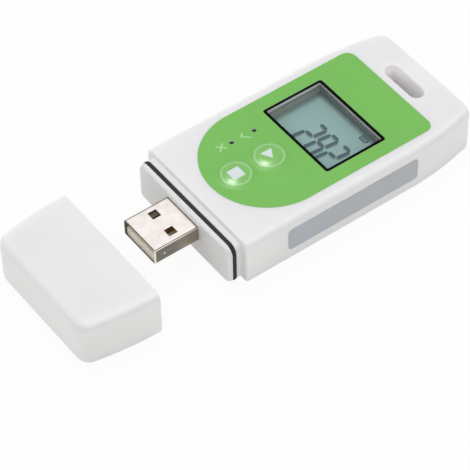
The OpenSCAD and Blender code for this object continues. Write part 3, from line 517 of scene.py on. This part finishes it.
def plug_nylon():
    """Tan plastic with painted light: lighter at the mouth, where the light comes in, than deep
    inside, and a painted glow that is strongest at the mouth.
    """
    finish = Finish("tan_nylon", tone(248, 240, 222), 0.5, Emission_Color=tone(240, 228, 208))
    mouth = box_mm("usb_insulator")[0][1]
    painted_mouth_light = finish.along("Y", mouth + 1.6, mouth + 0.3)
    ground = finish.ramp(finish.noise(1.2, 3), [
        (0.3, tone(244, 234, 216)), (0.7, tone(252, 245, 230))])
    # Painted light, paler towards the mouth.
    finish.paint(finish.blend(painted_mouth_light, tone(212, 196, 170), ground))
    # Painted glow, strongest at the mouth.
    finish.feed("Emission Strength", finish.spread(painted_mouth_light, 0.045, 0.17, 0.0, 1.0))
    return finish.grain(0.2, 0.008)


def plug_nickel():
    """Nickel-plated sheet, its tones mostly painted reflection and shade: bright rolled faces;
    sides painted darker, as a dark reflection, with lines from the rolls and lighter towards the
    root; painted dark lines of shade where a face ends; a painted highlight on the right corner at
    the mouth; and painted bright and dark lines where the sheet is bent towards its side."""
    finish = Finish("plug_nickel", tone(240, 232, 226), 0.34, Metallic=1.0)
    mouth, root, edge = plug_mouth, housing_low[1], plug_half
    rolled = finish.noise(0.35, 3, (1, 9, 1))
    blots = finish.noise(2.2, 2)
    face = finish.ramp(blots, [(0.3, tone(227, 219, 213)), (0.7, tone(241, 234, 231))])
    # Painted shade: dark lines at the mouth, at the root and along the left edge of the face.
    ends = finish.math("MAXIMUM", finish.along("Y", mouth + 0.35, mouth + 0.12),
                       finish.along("Y", root - 0.35, root - 0.1))
    ends = finish.math("MAXIMUM", ends, finish.along("X", 0.65 - edge, 0.4 - edge))
    face = finish.blend(ends, face, tone(112, 108, 100))
    # Painted dark reflection on the sides, lighter towards the root, with lines from the rolls.
    near = finish.ramp(rolled, [(0.25, tone(100, 96, 87)), (0.75, tone(128, 123, 112))])
    deep = finish.ramp(rolled, [(0.25, tone(142, 134, 119)), (0.75, tone(174, 166, 150))])
    side = finish.blend(finish.along("Y", mouth + 4, root), near, deep)
    # Painted highlight on the right corner at the mouth.
    corner = finish.math("MULTIPLY", finish.along("Y", mouth + 0.45, mouth + 0.2),
                         finish.along("X", edge - 0.6, edge - 0.2))
    side = finish.blend(corner, side, tone(236, 230, 220))
    # Painted shade on the cut end at the mouth.
    painted_cut_shade = finish.math("MULTIPLY", finish.along("Y", mouth + 0.05, mouth + 0.02),
                      finish.along("X", edge - 0.5, edge - 0.7))
    side = finish.blend(painted_cut_shade, side, tone(96, 90, 82))
    # Painted bright and dark lines across the bend, by how much it faces up.
    painted_bend_light = finish.ramp(finish.facing("Z"), [
        (0.1, tone(122, 117, 108)), (0.3, tone(226, 220, 212)), (0.55, tone(236, 230, 222)),
        (0.7, tone(96, 92, 84)), (0.9, tone(104, 99, 92)), (0.985, tone(220, 210, 205))])
    on_bend = finish.spread(finish.facing("Z"), 0.0, 1.0, 0.06, 0.12)
    on_face = finish.spread(finish.facing("Z"), 0.0, 1.0, 0.95, 0.99)
    finish.paint(finish.blend(on_face, finish.blend(on_bend, side, painted_bend_light), face))
    finish.feed("Roughness", finish.spread(on_face, 0.34, 0.2, 0.0, 1.0))
    return finish.relief(rolled, 0.0025)


def solder_mask():
    """Green board: paths in a lighter green that run along the board, on a mottled ground."""
    finish = Finish("solder_mask", tone(28, 96, 52), 0.35)
    patches = finish.spread(finish.noise(7, 0), 0.0, 1.0, 0.48, 0.52)
    lines = finish.spread(finish.bands(130.0, 1.5), 0.0, 1.0, 0.72, 0.8)
    paths = finish.math("MULTIPLY", patches, lines)
    finish.paint(finish.blend(paths, tone(28, 96, 52), tone(58, 136, 74)))
    return finish.relief(paths, 0.02)


def zebra_rubber():
    """Elastomer strip: thin dark and pink layers across its length."""
    finish = Finish("zebra_rubber", tone(214, 130, 140), 0.6)
    finish.paint(finish.ramp(finish.bands(900.0), [
        (0.45, tone(46, 40, 42)), (0.55, tone(214, 130, 140))]))
    return finish.grain(0.2, 0.008)


node_finishes = {
    "main_housing": housing_white, "protective_cap": housing_white, "back_cover": cover_white,
    "cover_gasket": seal_rubber, "neck_seal": seal_rubber, "cover_screws": screw_zinc,
    "board_screws": screw_zinc, "usb_shell": plug_nickel(), "usb_insulator": plug_nylon(),
    "usb_contacts": contact_gold, "front_label": film_green, "side_label": sticker_grey,
    "window_border": border_print(), "display_window": window_clear, "display_holder": well_walls(),
    "display_glass": display_face(), "display_reflector": reflector_foil,
    "display_connectors": zebra_rubber(), "circuit_board": solder_mask(),
    "start_button": key_green, "stop_button": key_green, "start_plunger": plunger_plastic,
    "stop_plunger": plunger_plastic, "start_switch": switch_plastic, "stop_switch": switch_plastic,
    "indicator_lamps": lamp_ivory, "light_guides": guide_painted_dark, "microcontroller": chip_black,
    "memory_chip": chip_black, "clock_crystal": crystal_can, "chip_components": part_brown,
    "temperature_sensor": bead_black, "coin_cell": cell_steel, "cell_holder": ring_black,
    "cell_strap": screw_zinc, "cell_pad": contact_gold,
}


def soft_shading():
    """Modifier that shades rounds smoothly and keeps edges over 40 degrees sharp."""
    merge_within = 1e-6
    sharp_angle = 0.7
    group = bpy.data.node_groups.new("soft_shading", "GeometryNodeTree")
    group.interface.new_socket("Geometry", in_out="INPUT", socket_type="NodeSocketGeometry")
    group.interface.new_socket("Geometry", in_out="OUTPUT", socket_type="NodeSocketGeometry")
    entry = group.nodes.new("NodeGroupInput")
    leave = group.nodes.new("NodeGroupOutput")
    merge = group.nodes.new("GeometryNodeMergeByDistance")
    merge.inputs["Distance"].default_value = merge_within
    smooth = group.nodes.new("GeometryNodeSetShadeSmooth")
    smooth.domain = "FACE"
    sharp = group.nodes.new("GeometryNodeSetShadeSmooth")
    sharp.domain = "EDGE"
    sharp.inputs["Shade Smooth"].default_value = False
    angle = group.nodes.new("GeometryNodeInputMeshEdgeAngle")
    over = group.nodes.new("FunctionNodeCompare")
    over.data_type = "FLOAT"
    over.operation = "GREATER_THAN"
    over.inputs["B"].default_value = sharp_angle
    group.links.new(entry.outputs[0], merge.inputs["Geometry"])
    group.links.new(merge.outputs["Geometry"], smooth.inputs["Geometry"])
    group.links.new(smooth.outputs["Geometry"], sharp.inputs["Geometry"])
    group.links.new(angle.outputs["Unsigned Angle"], over.inputs["A"])
    group.links.new(over.outputs["Result"], sharp.inputs["Selection"])
    group.links.new(sharp.outputs["Geometry"], leave.inputs[0])
    return group


shading = soft_shading()
for name, finish in node_finishes.items():
    solid = nodes[name]
    if not solid.material_slots:
        solid.data.materials.append(finish.material)
    for slot in solid.material_slots:
        slot.material = finish.material
    smoother = solid.modifiers.new("soft_shading", "NODES")
    smoother.node_group = shading
    weigh = solid.modifiers.new("weighted_normals", "WEIGHTED_NORMAL")
    weigh.keep_sharp = True


# New pieces

def add_piece(name, points, faces, finish, body, slot, smooth=False):
    """Puts a mesh in the scene, riding on a body."""
    mesh = bpy.data.meshes.new(name)
    mesh.from_pydata(mm(points).tolist(), [], faces.tolist() if hasattr(faces, "tolist") else faces)
    mesh.polygons.foreach_set("use_smooth", np.full(len(mesh.polygons), smooth))
    mesh.materials.append(finish.material)
    mesh.update()
    piece = bpy.data.objects.new(name, mesh)
    bpy.context.scene.collection.objects.link(piece)
    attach(piece, body)
    return piece


def grid_faces(rows, columns, first=0, closed=False):
    """Quads of a grid of points, rows by columns; closed joins the last column to the first."""
    across = np.arange(columns if closed else columns - 1)
    i, j = np.meshgrid(np.arange(rows - 1), across, indexing="ij")
    k = (j + 1) % columns
    return first + np.stack([i * columns + j, i * columns + k, (i + 1) * columns + k,
                             (i + 1) * columns + j], -1).reshape(-1, 4)


def slab(top, thickness):
    """A closed plate. Its top is a grid of points, its underside is the same grid lowered by
    the thickness, and a wall runs round the four edges of the grid."""
    rows, columns, _ = top.shape
    low = top - np.array([0, 0, thickness])
    points = np.concatenate([top.reshape(-1, 3), low.reshape(-1, 3)])
    count = rows * columns
    upper = grid_faces(rows, columns)
    lower = grid_faces(rows, columns, count)[:, ::-1]
    index = np.arange(count).reshape(rows, columns)
    rim = np.concatenate([index[0, :-1], index[:-1, -1], index[-1, :0:-1], index[:0:-1, 0]])
    after = np.roll(rim, -1)
    wall = np.stack([rim, rim + count, after + count, after], -1)
    return points, np.concatenate([upper, lower, wall])


def right_way_out(points, faces):
    """Turns a closed mesh's faces outward if its signed volume is negative."""
    corner = points[faces]
    volume = np.einsum("ij,ij->", corner[:, 0], np.cross(corner[:, 1], corner[:, 2]))
    volume += np.einsum("ij,ij->", corner[:, 0], np.cross(corner[:, 2], corner[:, 3]))
    return faces if volume > 0 else faces[:, ::-1]


def join(parts):
    """Several (points, faces) as one."""
    points, faces, first = [], [], 0
    for p, f in parts:
        points.append(p)
        faces.append(right_way_out(p, f) + first)
        first += len(p)
    return np.concatenate(points), np.concatenate(faces)


def dome_height(r):
    """Height of a key over the film: the dome's height times (1 - (r/R)^4) squared, which is
    flat in the middle, steepest near its ring and level again at its edge R."""
    u = np.clip(r / dome_r, 0, 1)
    return dome_h * (1 - u ** 4) ** 2


def key_dome(place):
    """A key: the dome_height profile turned about the key's axis, with a straight side and a
    flange under it, closed at both poles."""
    x0, y0 = place
    pole_r, edge = 0.01, 0.05
    rings, around = 34, 96
    flange_r = (key_high[0] - key_low[0]) / 2
    flange_low = key_low[2]
    flange_top = flange_low + 0.7
    domed = np.linspace(pole_r, dome_r - 0.04, rings)
    r = np.concatenate([domed, [
        dome_r - 0.01, dome_r, dome_r, key_r,
        flange_r - edge, flange_r, flange_r, flange_r - edge, pole_r]])
    z = np.concatenate([film_top + dome_height(domed), [
        film_top - 0.012, film_top - 0.04, film_top - 0.4, flange_top,
        flange_top, flange_top - edge, flange_low + edge, flange_low, flange_low]])
    a = np.linspace(0, 2 * np.pi, around, endpoint=False)
    ring = np.stack([x0 + r[:, None] * np.cos(a), y0 + r[:, None] * np.sin(a),
                     np.repeat(z[:, None], around, 1)], -1)
    points = ring.reshape(-1, 3)
    quads = [tuple(f) for f in grid_faces(len(r), around, closed=True)[:, ::-1].tolist()]
    top_cap = tuple(range(around))
    low_cap = tuple(range((len(r) - 1) * around, len(r) * around))[::-1]
    return points, quads + [top_cap, low_cap]


for side, place in key_places.items():
    points, faces = key_dome(place)
    piece = add_piece(side + "_key_dome", points, faces, key_green, side + "_key", "label_green",
                      smooth=True)
    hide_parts(side + "_button")


print_t = 0.02
print_lift = 0.012
bar_lift = 0.004
ring_mid, ring_in, ring_out = (0.16, -0.13), 3.27, 3.58
play_corners = ((1.55, -0.1), (-1.3, 1.5), (-1.3, -1.75))
square_mid, square_half = (0.25, -0.2), 1.62


def on_dome(place, x, y):
    """Points over a key, lifted a hair above its dome."""
    z = film_top + dome_height(np.hypot(x, y)) + print_lift
    return np.stack([place[0] + x, place[1] + y, z], -1)


def ring_print(place, middle, inner, outer):
    """A printed ring on a dome: radius and angle on a grid round a middle, with an underside."""
    a = np.linspace(0, 2 * np.pi, 121)
    r = np.linspace(inner, outer, 4)
    grid = on_dome(place, middle[0] + r[:, None] * np.cos(a), middle[1] + r[:, None] * np.sin(a))
    return slab(grid, print_t)


def square_print(place, middle, half):
    """A printed square on a dome: x and y on a grid round a middle."""
    s = np.linspace(-half, half, 13)
    x, y = np.meshgrid(s + middle[0], s + middle[1], indexing="ij")
    return slab(on_dome(place, x, y), print_t)


def triangle_print(place, corners):
    """A printed triangle on a dome: first corner plus u times the way to a point that moves by
    v from the second corner to the third."""
    a, b, c = (np.array(p, float) for p in corners)
    u, v = np.meshgrid(np.linspace(0.01, 1, 13), np.linspace(0, 1, 13), indexing="ij")
    p = a + u[..., None] * ((b - a) + v[..., None] * (c - b))
    return slab(on_dome(place, p[..., 0], p[..., 1]), print_t)


for side, place in key_places.items():
    ring = join([ring_print(place, ring_mid, ring_in, ring_out)])
    add_piece(side + "_key_ring", *ring, print_pale, side + "_key", "label_green", smooth=True)
sign = join([triangle_print(key_places["start"], play_corners)])
add_piece("start_key_sign", *sign, print_white, "start_key", "label_green", smooth=True)
sign = join([square_print(key_places["stop"], square_mid, square_half)])
add_piece("stop_key_sign", *sign, print_white, "stop_key", "label_green", smooth=True)


def stroke(start, end, half, z, taper):
    """A flat bar from start to end at height z, whose ends narrow to a point over taper."""
    start, end = np.array(start, float), np.array(end, float)
    way = end - start
    length = np.hypot(*way)
    way = way / length
    across = np.array([-way[1], way[0]])
    along = np.array([0, taper, length - taper, length])
    width = np.array([half * 0.06, half, half, half * 0.06]) if taper > 0.01 else np.full(4, half)
    v = np.array([-1.0, 0.0, 1.0])
    p = start + along[:, None, None] * way + (width[:, None] * v)[..., None] * across
    return np.concatenate([p, np.full(p.shape[:2] + (1,), z)], -1)


digit_strokes = {
    "a": ((0, 2), (1, 2)), "b": ((1, 1), (1, 2)), "c": ((1, 0), (1, 1)), "d": ((0, 0), (1, 0)),
    "e": ((0, 0), (0, 1)), "f": ((0, 1), (0, 2)), "g": ((0, 1), (1, 1)),
}
digit_shapes = {"2": "abged", "8": "abcdefg"}
bar_gap = 0.16


def display_digits(text, left, low, width, half_height, pitch, stroke_half, lean, z):
    """Seven-bar figures as flat bars on the display glass. A bar runs between two corners of
    a 1 by 2 cell, with a small gap at each end, and leans by lean times its height."""
    parts = []
    for place, figure in enumerate(text):
        for bar in digit_shapes[figure]:
            ends = []
            for column, row in digit_strokes[bar]:
                x = left + place * pitch + column * width
                y = low + row * half_height
                ends.append(np.array([x + lean * (y - low), y]))
            gap = (ends[1] - ends[0]) / np.hypot(*(ends[1] - ends[0])) * bar_gap
            parts.append(slab(stroke(ends[0] + gap, ends[1] - gap, stroke_half, z,
                                     stroke_half * 0.9), print_t))
    return join(parts)


def battery_sign(x, y, length, width, z):
    """A small battery: an outline of four bars, a pole, and two charge bars inside."""
    bar_half, step = 0.17, 0.003
    h, w = length / 2, width / 2
    corners = [(x - h, y - w), (x + h, y - w), (x + h, y + w), (x - h, y + w)]
    bars = [(corners[i], corners[(i + 1) % 4]) for i in range(4)]
    bars += [((x + h + 0.2, y - w / 2), (x + h + 0.2, y + w / 2))]
    bars += [((x + k * h, y - w * 0.8), (x + k * h, y + w * 0.8)) for k in (-0.38, 0.3)]
    return [slab(stroke(a, b, bar_half, z + step * i, 0.0), print_t)
            for i, (a, b) in enumerate(bars)]


reading = "282"
digit_cell = (2.75, 4.0, 4.35, 0.46, 0.11)
digit_left, digit_low = window_mid[0] - 4.2, window_mid[1] - 6.45
ink_z, shade_z = glass_top + 0.05, glass_top + 0.023
# Painted shadows: a paler copy of the figures, a little aside and lower, where they shade the
# display.
shades = display_digits(reading, digit_left + 0.32, digit_low - 0.3, *digit_cell, shade_z)
add_piece("display_digit_shades", *shades, lcd_shade, "logger", "display_glass")
figures = display_digits(reading, digit_left, digit_low, *digit_cell, ink_z)
add_piece("display_digits", *figures, lcd_ink, "logger", "black_print")
battery = join(battery_sign(window_mid[0] + 6.8, window_mid[1] + 6.6, 2.1, 1.3, ink_z))
add_piece("battery_sign", *battery, lcd_ink, "logger", "black_print")


def flat_mark(bars, z, half):
    """Straight bars joined into one printed mark."""
    return join([slab(stroke(a, b, half, z + bar_lift * i, 0.0), print_t)
                 for i, (a, b) in enumerate(bars)])


def lamp_marks():
    """A tick beside the upper indicator hole and a cross beside the lower one."""
    bar_half, arm, below = 0.2, 0.95, 2.9
    guide_r = 1.2
    x = (lamp_low[0] + lamp_high[0]) / 2
    z = film_top + print_lift
    tick_x, tick_y = x + 0.3, lamp_high[1] - guide_r - below
    cross_x, cross_y = x - 0.1, lamp_low[1] + guide_r - below
    return join([
        flat_mark([((tick_x - 1.2, tick_y + 0.1), (tick_x - 0.35, tick_y - 0.8)),
                   ((tick_x - 0.5, tick_y - 0.85), (tick_x + 1.2, tick_y + 1.0))], z, bar_half),
        flat_mark([((cross_x - arm, cross_y - arm), (cross_x + arm, cross_y + arm)),
                   ((cross_x - arm, cross_y + arm), (cross_x + arm, cross_y - arm))], z, bar_half),
    ])


add_piece("lamp_marks", *lamp_marks(), print_pale, "logger", "label_green")
